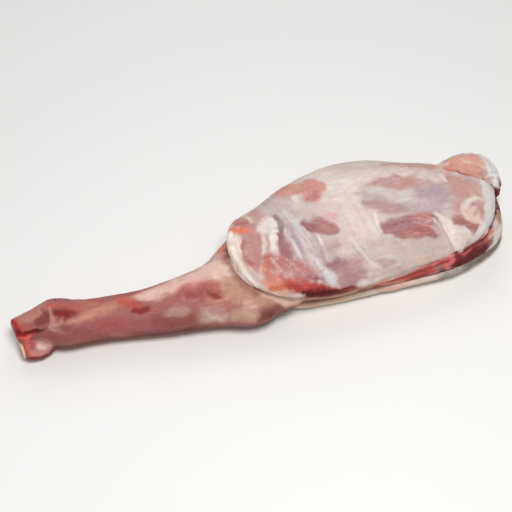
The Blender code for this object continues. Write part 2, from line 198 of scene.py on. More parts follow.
bladeMarks = [  # from above, the muscles and seams that show through it
    # shank end of the sheet
    ("lip", 3, 0.3, 0.95, [(-22, 12, 5), (-24, 4, 7), (-25, -6, 6.5), (-25, -16, 5.5), (-23, -28, 5),
        (-19, -37, 5), (-16, -42, 3.5)]),
    ("rose", 7.5, 0.3, 0.9, [(-14, 4, 17), (-12, -9, 21), (-17, -20, 17)]),
    ("wine", 4, -0.4, 0.8, [(-21, -4, 3), (-25, -13, 3.5), (-26, -22, 4), (-22, -28, 6), (-19, -35, 5)]),
    ("rose", 6, 0.4, 0.9, [(-16, 21, 9), (-11, 10, 11)]),
    ("wine", 4.5, -0.3, 0.7, [(-19, 17, 6), (-13, 15, 5)]),
    ("rust", 3, 0.5, 0.95, [(-27, 13, 9), (-21, 9, 7), (-15, 7, 6)]),
    ("fascia", 2, 0.3, 0.8, [(-25, 19, 4)]),
    ("fascia", 2, 0.4, 0.7, [(-8, 25, 3.5), (-7, 14, 3.5)]),
    ("rose", 7.5, 0.3, 0.8, [(-2, 25, 9), (0, 13, 12)]),
    ("fascia", 1.6, 0.5, 0.8, [(-4, -2, 3.5), (-6, -13, 3.5), (-13, -27, 3), (-18, -36, 3), (-21, -43, 3)]),
    ("white", 6, 0.5, 0.9, [(0, 2, 10), (6, 8, 13), (11, 6, 9)]),
    ("white", 1.5, 1, 1, [(5, -5, 8.5), (2, -15, 8.5), (-1, -24, 8)]),
    ("shade", 2, -1, 0.9, [(13, 13, 3.5), (14, 4, 5), (12, -3, 3.5), (7, -16, 2)]),
    ("purple", 4.5, -0.6, 0.9, [(10, -10, 7), (8, -20, 11), (7, -29, 11)]),
    ("roseDeep", 9, 0, 0.9, [(-8, -28, 14), (2, -38, 18), (13, -46, 13), (21, -54, 10)]),
    ("orange", 6, 0.3, 0.8, [(-10, -27, 6), (-14, -37, 9), (-13, -45, 9), (-5, -50, 8), (2, -52, 5)]),
    ("rust", 2, 0.6, 0.55, [(-20, -42, 2.4), (-16, -48, 3), (-8, -52, 3), (1, -53, 2.4)]),
    ("plum", 4.5, -0.4, 0.8, [(17, -53, 4), (27, -57, 4)]),
    ("redWindow", 1.5, -0.3, 0.7, [(20, -55, 2), (24, -56, 1.5)]),
    # silver strands and a painted glint band
    ("silver", 2.5, 0.3, 0.8, [(22, 16, 5), (25, -4, 5), (24, -22, 5), (25, -40, 5)]),
    ("glint", 4.5, 0.4, 0.9, [(28, -42, 4), (33, -52, 8), (35, -59, 8)]),
    ("white", 1.5, 0.3, 0.8, [(24, -58, 3), (30, -62, 3)]),
    # back edge
    ("rose", 9, 0.2, 0.7, [(24, 34, 9), (31, 30, 8)]),
    ("tanOrange", 5, 0.4, 0.95, [(25, 42, 10), (33, 38, 17), (42, 36, 15)]),
    ("wine", 2, -0.2, 0.6, [(8, 34, 2), (14, 38, 2.4)]),
    ("rust", 1.6, 0.2, 0.5, [(19, 41, 1.6), (23, 44, 1.4)]),
    ("salmon", 4.5, 0.4, 0.9, [(55, 40, 12), (55, 31, 18), (49, 22, 14)]),
    ("window", 4.5, -0.3, 0.6, [(42, 19, 4), (50, 20, 5), (55, 24, 3)]),
    ("fascia", 4.5, 0.4, 0.9, [(36, 25, 8), (34, 18, 5)]),
    # the red window and its neighbours
    ("window", 4.2, -0.35, 0.95, [(34, -6, 9), (41, -11, 17), (49, -18, 13)]),
    ("redWindow", 4, -0.3, 0.9, [(32, -4, 6), (34, -11, 7)]),
    ("silver", 1.4, 0.3, 0.8, [(30, 2, 2.4), (38, -1, 2), (46, -6, 1.2)]),
    ("silver", 1.2, 0.3, 0.6, [(32, -1, 1), (40, -6, 1.4), (47, -12, 1)]),
    ("rose", 4, 0, 0.6, [(45, -12, 7), (49, -19, 7)]),
    ("shade", 1.5, -0.3, 0.6, [(33, -1, 3)]),
    ("window", 5.2, -0.3, 0.7, [(43, -4, 7), (47, -8, 6)]),
    ("pink", 9, 0.2, 0.7, [(55, -5, 9)]),
    ("dusk", 9, -0.2, 0.5, [(36, -36, 8), (48, -34, 8)]),
    ("plum", 6, -0.3, 0.9, [(36, -48, 8), (42, -50, 11), (48, -52, 8)]),
    ("dusk", 10.5, -0.2, 0.85, [(48, -56, 15), (58, -54, 15), (52, -62, 11)]),
    ("white", 2.5, 0.5, 0.6, [(62, -30, 1.5), (65, -46, 2.4), (69, -55, 2.4), (76, -62, 2)]),
    ("shade", 2, -0.3, 0.25, [(59.5, -34, 1.2), (62.5, -46, 1.4), (66.5, -55, 1.2)]),
    ("shadeTan", 5, -0.3, 0.45, [(75, -56, 4), (86, -59, 5)]),
    ("dusk", 2.5, -0.3, 0.6, [(74, -62, 1.4), (84, -64, 2), (92, -64, 1.4)]),
    ("pinkTan", 7.5, 0, 0.6, [(100, -64, 5), (120, -65, 5)]),
    # blade half, far side first
    ("oval", 6, 0.3, 0.85, [(122, 38, 5), (135, 33, 9), (150, 25, 10), (162, 19, 7)]),
    ("oval", 5.2, 0.6, 0.9, [(100, 19, 6), (112, 14, 13), (124, 10, 17), (138, 6, 15), (148, 4, 8)]),
    ("pinkOval", 7.5, 0.1, 0.8, [(121, 8, 6), (131, 6, 7)]),
    ("grey", 6, -0.2, 0.7, [(86, 12, 4), (93, 8, 4)]),
    ("grey", 6, -0.2, 0.7, [(92, 6, 5), (104, 1, 5)]),
    ("fascia", 6, 0.2, 0.7, [(148, 9, 9), (157, 6, 9)]),
    ("silver", 6, 0.2, 0.7, [(104, 8, 6), (118, -3, 9), (131, -10, 9)]),
    ("bluish", 13.5, 0, 0.9, [(138, -6, 16), (148, -10, 24), (152, -14, 20)]),
    ("violet", 14, -0.1, 0.5, [(134, -10, 8), (150, -12, 12)]),
    ("bluish", 7.5, 0, 0.8, [(112, -16, 8), (130, -22, 11), (145, -25, 9)]),
    ("dusk", 7.5, -0.4, 0.75, [(88, -1, 9), (96, -6, 14), (106, -13, 13), (114, -18, 8)]),
    ("bigMuscle", 4.2, -0.5, 0.95, [(94, -32, 12), (104, -34, 21), (116, -36, 24), (126, -41, 20),
        (131, -47, 11)]),
    ("plum", 9, 0, 0.7, [(104, -28, 8), (115, -31, 9)]),
    ("redMuscle", 6, 0, 0.7, [(108, -43, 10), (120, -43, 12), (130, -46, 8)]),
    ("white", 1.6, 0.5, 0.8, [(90, -14, 2.2), (89, -24, 2.8), (88, -33, 3)]),
    ("white", 1.6, 0.4, 0.6, [(84, -20, 2), (84, -36, 3)]),
    ("shade", 3, -0.2, 0.3, [(94, -46, 3.5), (101, -47, 3)]),
    ("greyFilm", 2, 0.3, 0.85, [(92, -42, 3), (102, -47, 3.5), (114, -51, 4), (126, -53, 5), (133, -53, 5)]),
    ("pink", 1.2, 0.4, 0.8, [(121, -28, 2), (132, -35, 2)]),
    ("pink", 1.2, 0.3, 0.6, [(118, -32, 1.5), (131, -41, 1.8)]),
    ("pink", 1.2, 0.3, 0.6, [(124, -26, 1.2), (134, -30, 1.6)]),
    ("greyFilm", 4.5, 0.3, 0.85, [(134, -43, 7), (135, -51, 6)]),
    # blade end
    ("tornWhite", 1.2, 0.9, 1, [(139.5, -29, 2), (142, -34, 5), (144.5, -40, 10), (147, -47, 15),
        (148, -54, 17), (149, -60, 12)]),
    ("tornWhite", 5, 0.3, 0.75, [(150, -50, 12), (158, -53, 8), (164, -54, 5)]),
    ("roseDeep", 5, -0.3, 0.8, [(120, -27, 4), (134, -31, 8)]),
    # painted shadow beside the torn edge
    ("shadeBrown", 1.6, -0.6, 0.6, [(134, -29, 1.2), (138.5, -33, 2.2), (138.5, -38, 2)]),
    ("shade", 1.5, -0.3, 0.5, [(139, -40, 1), (138.5, -48, 1.4), (139.5, -56, 1.4), (143, -62, 1.4)]),
    ("fascia", 4, 0.4, 0.8, [(156, -50, 9), (162, -56, 6)]),
    ("greyFilm", 3, -0.2, 0.7, [(156, -57, 4), (160, -57, 4)]),
    ("redMuscle", 5, -0.4, 0.9, [(155, -40, 8), (163, -47, 9), (172, -50, 8)]),
    ("wine", 3, -0.2, 0.7, [(152, -42, 4)]),
    ("wine", 3, -0.2, 0.6, [(163, -51, 3), (172, -52, 3)]),
    ("flap", 4, 0.2, 0.8, [(178, -47, 7), (181, -39, 4)]),
    ("palePink", 3, 0.2, 0.8, [(172, -34, 16)]),
    ("curl", 2.4, 0.4, 0.95, [(186, -27, 2), (180, -24, 5), (171, -26, 8), (165, -32, 8), (166, -40, 8),
        (174, -45, 4)]),
    ("white", 2, 0.4, 0.7, [(178, -24, 2.5), (171, -26, 3.5), (167, -31, 3)]),
    ("curl", 2, 0.3, 0.8, [(178, -31, 2), (172, -34, 4), (169, -38, 3)]),
    ("curl", 2, 0.3, 0.7, [(176, -38, 2), (172, -41, 3)]),
    ("pinkish", 2, -0.6, 0.8, [(175, -29, 2.5), (180, -33, 4), (180, -39, 5)]),
    ("shade", 1.5, -0.4, 0.5, [(173, -30, 1.5), (176, -28, 1.5)]),
    ("pinkish", 1.5, -0.5, 0.7, [(171, -40, 2), (175, -37, 2)]),
    ("rim", 2.5, 0.4, 0.95, [(195, -8, 5), (195, -20, 11), (191, -31, 11), (185, -42, 9), (176, -50, 7),
        (167, -56, 4)]),
    ("fascia", 2, 0.3, 0.8, [(163, 8, 5), (164, 2, 4)]),
]

shankMarks = [  # along the shank, and degrees from its top to its front
    ("pinkTan", 8, 0, 1, [(-114, -10, 8), (-98, -14, 13), (-82, -18, 17), (-66, -16, 20), (-52, -14, 22),
        (-42, -10, 24)]),
    ("pinkTan", 5, 0.2, 0.6, [(-110, -2, 8), (-102, 2, 7)]),
    ("plumLean", 8, 0, 0.8, [(-185, 80, 10), (-165, 72, 14), (-150, 85, 12)]),
    ("mauve", 8, 0, 0.8, [(-160, 50, 10), (-140, 60, 14), (-118, 70, 16), (-100, 85, 12)]),
    ("red", 7, -0.1, 0.45, [(-150, 52, 8), (-134, 56, 8)]),
    ("brown", 8, 0, 0.6, [(-106, 62, 12), (-90, 68, 14), (-76, 72, 10)]),
    ("tan", 5, 0.3, 0.85, [(-172, 40, 4), (-164, 30, 6), (-155, 21, 8), (-146, 13, 8), (-136, 6, 8),
        (-127, -2, 7), (-120, -8, 7)]),
    ("tan", 4, 0.2, 0.5, [(-162, -18, 5), (-150, -14, 5)]),
    ("red", 4, -0.2, 0.5, [(-152, -24, 4), (-144, -14, 4)]),
    ("brightRed", 5, 0.1, 0.5, [(-132, -10, 5), (-124, -6, 7)]),
    ("red", 6, -0.2, 0.8, [(-130, 2, 7), (-123, 13, 9), (-117, 22, 7)]),
    ("darkRed", 3, -0.4, 0.85, [(-124, 28, 4), (-118, 30, 4.5), (-112, 29, 4)]),
    ("red", 8, -0.2, 0.65, [(-84, 10, 6), (-74, 10, 10), (-64, 12, 12), (-57, 20, 8)]),
    ("red", 5, -0.1, 0.5, [(-52, 22, 4), (-46, 30, 5)]),
    ("darkRed", 4, -0.3, 0.4, [(-78, 25, 4), (-67, 25, 4)]),
    ("ruddy", 8, 0, 0.8, [(-58, 38, 14), (-50, 42, 10)]),
    ("mauve", 8, -0.1, 0.5, [(-82, 12, 8), (-68, 20, 12), (-56, 30, 12), (-50, 42, 8)]),
    ("darkRed", 6, -0.4, 0.85, [(-62, 33, 4), (-57, 38, 6), (-54, 44, 3)]),
    ("tendon", 6, 0.2, 0.75, [(-97, 48, 5), (-89, 49, 7), (-83, 52, 4)]),
    ("tendon", 7, 0.3, 0.85, [(-70, 70, 10), (-58, 82, 11)]),
    ("shinyTendon", 2.5, 0.3, 0.8, [(-68, 66, 2.5), (-64, 78, 3), (-58, 86, 3)]),
    # painted shade low on the front, along the lower edge of the shank
    ("shadeBrown", 10, 0, 0.85, [(-190, 118, 10), (-150, 115, 11), (-110, 111, 11), (-70, 111, 10)]),
    ("brown", 9, 0, 0.8, [(-66, 116, 10), (-48, 120, 12), (-32, 118, 12)]),
    # underneath and on the far side
    ("tan", 7, 0.2, 0.7, [(-164, 158, 9), (-134, 164, 12), (-104, 156, 10)]),
    ("tendon", 6, 0.4, 0.7, [(-92, 166, 6), (-62, 172, 8)]),
    ("pinkTan", 8, 0.2, 0.7, [(-74, -146, 12), (-50, -152, 16)]),
    ("mauve", 8, 0, 0.8, [(-172, -124, 12), (-146, -132, 14), (-116, -120, 14)]),
    ("tan", 6, 0.3, 0.7, [(-176, -66, 7), (-152, -74, 9), (-126, -68, 8)]),
    ("red", 6, -0.1, 0.7, [(-146, -44, 7), (-122, -50, 9), (-100, -46, 7)]),
    ("mauve", 8, 0, 0.8, [(-112, -90, 12), (-84, -98, 14)]),
    ("pinkTan", 8, 0.2, 0.7, [(-84, -60, 10), (-62, -70, 14), (-44, -78, 12)]),
    ("tendon", 5, 0.4, 0.7, [(-74, -112, 6), (-54, -120, 6)]),
    ("darkRed", 5, -0.3, 0.7, [(-94, -74, 5), (-84, -78, 5)]),
]

armMarks = [  # from above, where the shank widens
    ("cream", 10, 0, 0.85, [(-56, -8, 13), (-46, -6, 16), (-42, -16, 10)]),
    ("rust", 4, 0.2, 0.85, [(-31, 13, 8), (-35, 10, 6)]),
    ("pink", 4, 0.2, 0.5, [(-37, 4, 6), (-40, 2, 4)]),
    ("elbowTan", 9, 0, 0.9, [(-42, -34, 19), (-29, -42, 25), (-14, -50, 18)]),
    ("shadeTan", 9, -0.5, 0.8, [(-37, -2, 5), (-36, -18, 8), (-32, -32, 10), (-23, -44, 10)]),
    ("elbow", 11, 0.3, 0.8, [(-48, -53, 4), (-39, -56, 6), (-32, -59, 6)]),
    ("cream", 7, 0.2, 0.5, [(-36, -50, 4), (-29, -52, 3)]),
    ("ruddy", 7, 0, 0.45, [(-33, -46, 5), (-26, -50, 4)]),
    # painted shade under the elbow, brown with a darker core
    ("brown", 10, 0, 0.75, [(-26, -61, 4), (-16, -58, 7), (-6, -57, 8)]),
    ("shadeBrown", 5, 0, 0.75, [(-28, -62, 2), (-18, -60, 4), (-9, -58, 5)]),
]

knuckleMarks = [  # in space, on the wrist knuckle and its sawn end
    ("lobeTan", 6, 0, 0.95, [(-210, 3, 33, 13), (-201, 0, 35, 15), (-192, 0, 37, 13)]),
    ("brown", 5, 0, 0.9, [(-196, -9, 34, 8), (-189, -10, 37, 9)]),
    ("lobeRed", 4, 0, 0.8, [(-210, -7, 31, 5), (-203, -10, 32, 3)]),
    ("berry", 2, 0, 0.8, [(-198, 8, 31, 2.4), (-190, 8, 34, 2.4)]),
    ("plumLean", 4, 0, 0.9, [(-203, -15, 25, 7), (-195, -18, 26, 9), (-189, -20, 27, 9)]),
    ("lobeWhite", 5, 0.3, 0.95, [(-200, -22, 19, 8), (-193, -22, 17, 9)]),
    ("cream", 3, 0.2, 0.7, [(-201, -22, 20, 4), (-197, -23, 17, 4)]),
    ("salmon", 3, 0, 0.85, [(-207, -24, 16, 5), (-200, -25, 14, 5), (-196, -24, 13, 4)]),
    ("berry", 2.5, -0.2, 0.8, [(-206, -17, 22, 4), (-205, -20, 20, 4), (-206, -22, 17, 3)]),
    ("darkRed", 3, 0, 0.95, [(-213, -22, 11, 5), (-206, -25.5, 9, 6), (-197, -26, 8, 6), (-188, -23, 9, 7)]),
    ("bulge", 2.5, 1.3, 1, [(-214, -11, 25, 6), (-209, -13, 23.5, 7), (-206.5, -14, 25, 4.5)]),
    ("marrow", 3, 0.3, 0.95, [(-214, -15, 20.5, 5), (-211.5, -18, 19, 6), (-211, -22, 15.5, 6)]),
    ("cutRed", 3, 0, 1, [(-217, 4, 33, 5), (-216, -3, 31, 9), (-213, -7, 30, 6)]),
    ("brightRed", 2, 0.3, 0.6, [(-213, -1, 33, 2), (-211, -6, 31, 2)]),
    ("cutRed", 4, 0, 1, [(-217, -2, 22, 12), (-217, -10, 18, 10), (-217, 4, 14, 12)]),
    ("lobeWhite", 2, 0.5, 0.8, [(-217, 1, 27, 3), (-217, 5, 22, 3)]),
    ("darkRed", 2.5, -0.6, 0.8, [(-217, -3, 24, 4), (-217, 0, 17, 4)]),
    # the crevice between the lobes: deep red with painted shade
    ("crevice", 2.4, -1.2, 1, [(-217, -8, 28, 5), (-211, -10.5, 27, 4.5), (-206, -12, 27.5, 4),
        (-200, -14, 29, 3)]),
    ("shadeBrown", 2.4, -0.8, 0.85, [(-200, -14, 29, 3), (-194, -16, 31.5, 2.4), (-188, -18, 34, 1.6)]),
    ("ridge", 2, 1.2, 0.85, [(-185, -3, 41.5, 3), (-185, -9, 41, 3.5), (-185.5, -14, 39, 4),
        (-187, -18, 35, 4)]),
    ("ridge", 3, 1.5, 1, [(-188, -19, 33.5, 7), (-184, -20, 34, 7)]),
    ("lobeWhite", 2.5, 0.3, 0.7, [(-188, -19.5, 33.5, 4.5), (-185, -20.5, 33.5, 3)]),
    ("red", 7, 0, 0.5, [(-177, -5, 41, 8), (-166, -8, 39, 9), (-158, -10, 38, 6)]),
    ("mauve", 5, 0, 0.5, [(-174, 2, 40, 6), (-162, 0, 39, 7)]),
    ("brightRed", 2, 0.5, 0.95, [(-188, 0, 40.5, 3), (-183, -3, 41.5, 4.2), (-179, -2, 41.5, 2.6)]),
    # a painted glint on the bright red
    ("pink", 1.2, 0.4, 0.7, [(-187, -2, 41, 1.2), (-184, -5, 41.5, 1.4)]),
    # painted shade in small grooves
    ("shadeBrown", 2, -0.8, 0.8, [(-179, 7, 38, 2), (-178, 0, 41, 2)]),
    ("shadeBrown", 2.5, -0.7, 0.8, [(-191, -2, 38, 2.5), (-189, -8, 38, 2.5)]),
    ("darkRed", 5.5, -0.3, 0.95, [(-181, -10, 41, 6), (-177, -13, 40, 11), (-169, -14, 40, 7),
        (-164, -16, 39, 3)]),
    # painted shade below the ridge and in a small crevice
    ("shadeBrown", 5, 0, 0.5, [(-182, -20, 33, 6), (-176, -22, 32, 6)]),
    ("crevice", 2.5, -1, 0.7, [(-184, -25, 26, 2.5)]),
]

frontMarks = [  # from the front edge, across and up
    ("dusk", 5, 0, 0.8, [(44, 42, 10), (58, 40, 12)]),
    ("greyFilm", 5, 0, 0.9, [(70, 36, 12), (96, 33, 16), (118, 34, 11)]),
    ("palePink", 4, 0.2, 0.7, [(84, 30, 4), (104, 29, 4)]),
    ("fatTan", 5, 0, 0.95, [(-20, 38, 9), (-6, 34, 10), (8, 27, 13), (30, 21, 12), (54, 17, 10)]),
    ("cream", 4, 0.3, 0.6, [(-20, 38, 5), (-8, 33, 6), (6, 28, 5), (16, 25, 4)]),
    ("lip", 2, 0.5, 0.7, [(-14, 42, 2.4), (-8, 41, 2.4), (-3, 42, 1.2)]),
    ("fascia", 3, 0.3, 0.5, [(8, 27, 3), (24, 24, 3)]),
    ("shadeTan", 5, 0, 0.5, [(-8, 24, 6), (10, 17, 6), (34, 13, 5)]),
    ("fatTan", 3, 0.1, 0.9, [(-12, 44, 4), (-2, 43, 4.5), (8, 41, 3)]),
    ("orange", 3, 0.3, 0.9, [(-14, 46, 4), (-6, 48, 4), (2, 47, 4)]),
    ("redPatch", 6, 0.2, 1, [(-2, 48, 5), (6, 46, 9), (15, 42, 12), (25, 38, 12), (35, 35, 10),
        (46, 32, 8), (62, 30, 6)]),
    # painted highlights along the red patch
    ("brightRed", 4, 0.2, 0.4, [(0, 49, 2), (8, 47, 3), (20, 43, 3)]),
    # dark red in the recess under the rim, partly painted shade
    ("shadedSeamRed", 5, -0.5, 1, [(8, 40, 3), (18, 36, 8), (30, 33, 12), (44, 31, 9), (58, 29, 5)]),
    ("brightRed", 2, 0.4, 0.6, [(44, 32, 2), (62, 30, 2)]),
    ("fascia", 5, 0.2, 0.95, [(60, 35, 9), (68, 30, 14), (76, 27, 14), (84, 30, 8)]),
    ("greyFilm", 4, 0.1, 0.6, [(84, 33, 5), (98, 33, 5)]),
    ("fatTan", 5, 0.1, 0.8, [(58, 22, 8), (70, 20, 9)]),
    ("ruddy", 6, 0, 0.9, [(80, 21, 10), (96, 19, 10)]),
    ("fatTan", 4, 0.3, 0.8, [(62, 28, 6), (74, 26, 6), (84, 30, 4)]),
    ("fascia", 2.5, 0.4, 0.7, [(70, 36, 2.4), (84, 37, 2.4), (92, 34, 2)]),
    ("greyFilm", 4, 0.2, 0.8, [(118, 36, 6), (130, 36, 4)]),
    ("rust", 4, 0, 0.6, [(78, 26, 3), (92, 26, 4)]),
    ("red", 5, 0, 0.95, [(90, 22, 5), (106, 23, 9), (120, 25, 13)]),
    ("darkRed", 4, -0.3, 0.6, [(108, 20, 4), (118, 20, 6)]),
    ("rust", 3, 0.3, 0.5, [(112, 30, 3), (124, 31, 3)]),
    ("darkRed", 6, 0, 0.95, [(142, 29, 13), (156, 28, 16), (174, 27, 14)]),
    ("wine", 5, 0.3, 0.65, [(152, 34, 6), (164, 35, 7), (178, 34, 7)]),
    # dark red seams in the lower band, partly painted shade
    ("shadedSeamRed", 6, -0.5, 0.95, [(134, 20, 6), (150, 21, 12), (162, 22, 12), (176, 20, 11)]),
    ("shadedSeamRed", 3, -0.4, 0.7, [(146, 33, 3), (150, 28, 4)]),
    ("shadedSeamRed", 3, -0.4, 0.7, [(164, 30, 4), (168, 26, 4)]),
    ("tornWhite", 1.4, 0.8, 1, [(147, 46, 9), (149, 40, 7), (150.5, 34, 3)]),
    ("tag", 2.5, 0.8, 0.95, [(126, 31, 6), (133, 33, 7), (140, 32, 8), (142, 28, 6), (136, 27, 5)]),
    ("pink", 1.6, 0.6, 0.8, [(130, 35, 2), (137, 36, 2.4), (142, 33, 2)]),
    ("darkRed", 2, -0.8, 0.8, [(128, 28, 2), (134, 30, 2.5), (139, 30, 2)]),
    ("tag", 2, 0.6, 0.8, [(137, 25, 4), (140, 21, 3)]),
    ("pink", 1.4, 0.4, 0.6, [(94, 25, 1.2), (108, 29, 1.6), (121, 30, 1.4)]),
    ("darkRed", 1.6, -0.4, 0.7, [(98, 22, 1.5), (112, 25, 2), (124, 27, 1.5)]),
    ("brightRed", 2, 0.3, 0.6, [(148, 33, 2), (158, 31, 2.6), (168, 33, 1.6)]),
    ("pink", 1.2, 0.4, 0.5, [(156, 37, 1.2), (166, 37, 1.6), (176, 38, 1.2)]),
    ("darkRed", 1.6, -0.4, 0.6, [(150, 25, 1.4), (160, 24, 1.8), (172, 27, 1.4)]),
    ("fascia", 1.4, 0.4, 0.6, [(98, 34, 1.6), (112, 35, 1.6), (126, 36, 1.4)]),
]

backMarks = [  # from the far side, across and up
    ("fatTan", 6, 0.2, 0.8, [(-16, 24, 8), (10, 18, 9), (34, 14, 7)]),
    ("palePink", 4, 0.3, 0.7, [(-4, 30, 3), (24, 26, 5), (50, 22, 3)]),
    ("darkRed", 6, -0.2, 0.8, [(44, 16, 7), (72, 13, 9), (98, 15, 7)]),
    ("wine", 5, 0.2, 0.7, [(96, 22, 5), (124, 25, 8), (140, 27, 6)]),
    ("fascia", 3, 0.4, 0.7, [(70, 21, 3), (96, 19, 4), (118, 17, 3)]),
    ("redPatch", 5, -0.2, 0.7, [(126, 15, 7), (150, 16, 9), (168, 15, 7)]),
    ("whiteFat", 5, 0.4, 0.85, [(176, 22, 6), (190, 19, 9), (203, 15, 8)]),
    ("ruddy", 5, 0.1, 0.7, [(146, 28, 5), (166, 26, 6)]),
    # dark red seam lines, partly painted shade
    ("shadedSeamRed", 3, -0.4, 0.7, [(20, 30, 3), (60, 26, 3), (110, 29, 3), (160, 32, 3)]),
]

edgeMarks = [  # in space, where the rim turns over at the blade end
    ("outerRed", 4, 0, 1, [(208, -14, 38, 10), (209, -18, 30, 11), (203, -27, 32, 11)]),
    ("ochre", 3, 0, 0.9, [(199, -33, 34, 6), (196, -40, 34, 6)]),
    ("whiteFat", 5, 0.3, 0.9, [(202, -36, 22, 8), (197, -43, 26, 11), (191, -48, 27, 10),
        (190, -50, 19, 10), (184, -53, 18, 5)]),
    ("orange", 3, 0, 0.85, [(185, -48, 34.5, 5), (178, -52, 31, 5)]),
    # a dark red line in the seam round the rim, partly painted shade
    ("shadedSeamRed", 1.8, -1, 0.95, [(197, -5, 50, 2.4), (202, -9, 47, 2.8), (206, -13, 41, 3),
        (204, -19, 36, 3), (199, -28, 36, 3), (194, -36, 36.5, 2.6), (185, -46, 35.5, 2.4),
        (178, -52, 33, 2), (163, -57, 33, 1.8), (150, -60, 33, 1.6)]),
]

flapMarks = [  # in space, on the folded flap
    ("flapPale", 4, 0, 0.95, [(166, 20, 50, 12), (172, 20, 51, 12)]),
    ("flap", 5, 0, 1, [(176, 20, 52, 14), (186, 19, 53, 18), (194, 12, 54, 18), (195, 4, 52, 12)]),
    ("tanOrange", 5, 0, 0.4, [(180, 26, 48, 8), (190, 27, 48, 8)]),
    ("flap", 3, 0, 1, [(171, 18, 53, 5), (179, 11, 53, 7), (187, 5, 53, 8), (195, -1, 52, 7)]),
    ("salmon", 3, 0.2, 0.5, [(182, 9, 53, 4), (190, 4, 53, 5)]),
    ("orange", 3, 0, 0.3, [(192, 3, 53, 4), (199, -3, 51, 4.5)]),
    ("flapPale", 3, 0.2, 0.6, [(184, 13, 55, 3), (193, 9, 55, 3)]),
    ("shade", 1.6, -0.5, 0.4, [(178, 13, 54, 1.4), (187, 9, 54, 1.6), (196, 3, 54, 1.4)]),
    ("flapPink", 3, 0.2, 0.75, [(194, 22, 52.5, 5), (202, 17, 54, 5)]),
    ("white", 2, 0.5, 0.7, [(171, 22, 51, 4), (177, 20, 53, 2.4)]),
    ("salmon", 3, 0.2, 0.6, [(182, 14, 54, 4), (190, 8, 54, 5)]),
    ("fascia", 1.6, 0.3, 0.6, [(184, 24, 52, 2), (192, 16, 54, 1.6), (199, 8, 54, 2)]),
    ("cap", 3, 0.4, 1, [(208, 17, 50, 8), (211, 9, 50, 9), (211, -1, 47, 8), (208, -9, 44, 5)]),
    ("cap", 2, 0.3, 0.9, [(206, 8, 53, 4), (206, -2, 50, 4)]),
    ("brightRed", 1.8, -0.5, 0.95, [(169, 16, 52.5, 2.6), (174, 13.5, 53, 2.6), (179, 10, 53, 2)]),
    # a dark line along the fold, partly painted shade
    ("brown", 2, -1, 0.95, [(178, 10, 53, 2.4), (183, 5, 52, 2.6), (188, 0.5, 52, 2.2)]),
    ("darkRed", 2, -1, 0.95, [(190, -2, 52, 2.2), (194, -5, 51.5, 3), (198, -6, 50, 2.4)]),
    ("darkRed", 2.5, 0, 0.9, [(211, -6, 45, 4), (213, -9, 41, 5)]),
]

raggedPatch = [(-8, -34, 18), (10, -42, 19), (24, -50, 13)]  # where the sheet is shredded

strandFields = [  # tissue, count, width, strength, rise, first end from and to, second end from and to
    ("white", 9, (1.4, 4), (0.35, 0.9), 0.3, (10, 26), (30, 16), (16, -50), (37, -58)),
    ("violet", 8, (1.2, 4), (0.3, 0.7), -0.25, (12, 14), (30, 6), (12, -46), (36, -54)),
    ("fascia", 5, (2.5, 6), (0.15, 0.4), 0.12, (56, 44), (92, 36), (66, -58), (96, -60)),
    ("pinkish", 3, (2, 4), (0.1, 0.2), -0.1, (54, 40), (90, 30), (62, -54), (92, -58)),
    ("white", 6, (1, 2.6), (0.2, 0.5), 0.2, (100, 14), (104, -20), (160, 2), (156, -28)),
    ("violet", 6, (0.8, 1.8), (0.2, 0.5), -0.15, (108, 6), (112, -20), (160, -4), (156, -26)),
    ("white", 7, (0.7, 1.6), (0.3, 0.8), 0.25, (-10, -24), (6, -26), (-2, -50), (26, -58)),
    ("redWindow", 8, (0.8, 1.8), (0.2, 0.6), -0.25, (-12, -26), (8, -30), (-4, -52), (28, -60)),
    ("fascia", 6, (0.8, 1.6), (0.2, 0.5), 0.15, (112, 34), (118, 20), (160, 20), (158, 10)),
    ("palePink", 5, (1.5, 4), (0.15, 0.45), 0.15, (160, 6), (184, 2), (158, -50), (184, -44)),
    ("lip", 7, (0.8, 1.8), (0.2, 0.5), 0.2, (-22, 14), (-6, 18), (-22, -26), (-4, -24)),
    ("greyFilm", 7, (1, 2.4), (0.2, 0.5), -0.15, (76, -44), (80, -62), (134, -54), (128, -66)),
]

fineStrands = [  # over the marks, faint
    ("pink", 9, (0.5, 1.1), (0.2, 0.55), 0.12, (92, -26), (98, -46), (132, -36), (130, -54)),
    ("silver", 6, (0.5, 1), (0.2, 0.5), 0.12, (96, -24), (104, -32), (130, -30), (134, -40)),
    ("fascia", 7, (0.6, 1.3), (0.2, 0.5), 0.12, (14, -22), (30, -22), (26, -58), (44, -60)),
    ("white", 6, (0.5, 1.1), (0.2, 0.5), 0.12, (-14, -26), (2, -28), (-8, -50), (16, -56)),
    ("palePink", 6, (0.6, 1.2), (0.2, 0.5), 0.12, (110, 16), (112, 8), (146, 10), (146, 3)),
    ("fascia", 5, (0.5, 1.1), (0.15, 0.4), 0.1, (46, -48), (48, -60), (68, -48), (66, -60)),
]


# the meat

meat = {
    "voxel": 0.0012, "smoothing": 3, "blur": 0.5,
    "warp": ((9.0, 1.6), (3.2, 0.45)),  # size and reach of the wander in mm
    "ragged": 0.5, "lumpHeight": 0.22, "lumpSize": 6.0, "threadHeight": 0.06,
    # the last two keys on the next line set how dark and how red the painted shade in creases is
    "creaseRounds": 14, "creaseFill": 1.2, "creaseShadeDepth": 0.35, "creaseShadeTint": (0.8, 1.15, 1.15),
    "shades": (0.05, 0.04, 0.04), "flush": 0.03,  # uneven light and dark, uneven red
    "lowest": 0.2,  # mm above the floor
}
brush = {  # how a mark's edge runs; marks softer than crisp follow the streaks
    "grain": 1.9, "wander": (1.2, 0.8), "wear": 0.16, "crisp": 5,
}
streakSizes = ((22, 3.6), (14, 1.9), (10, 1.2))  # length and width in mm, coarse to fine
streakTurns = (-5, -76)  # along the part and to its front edge

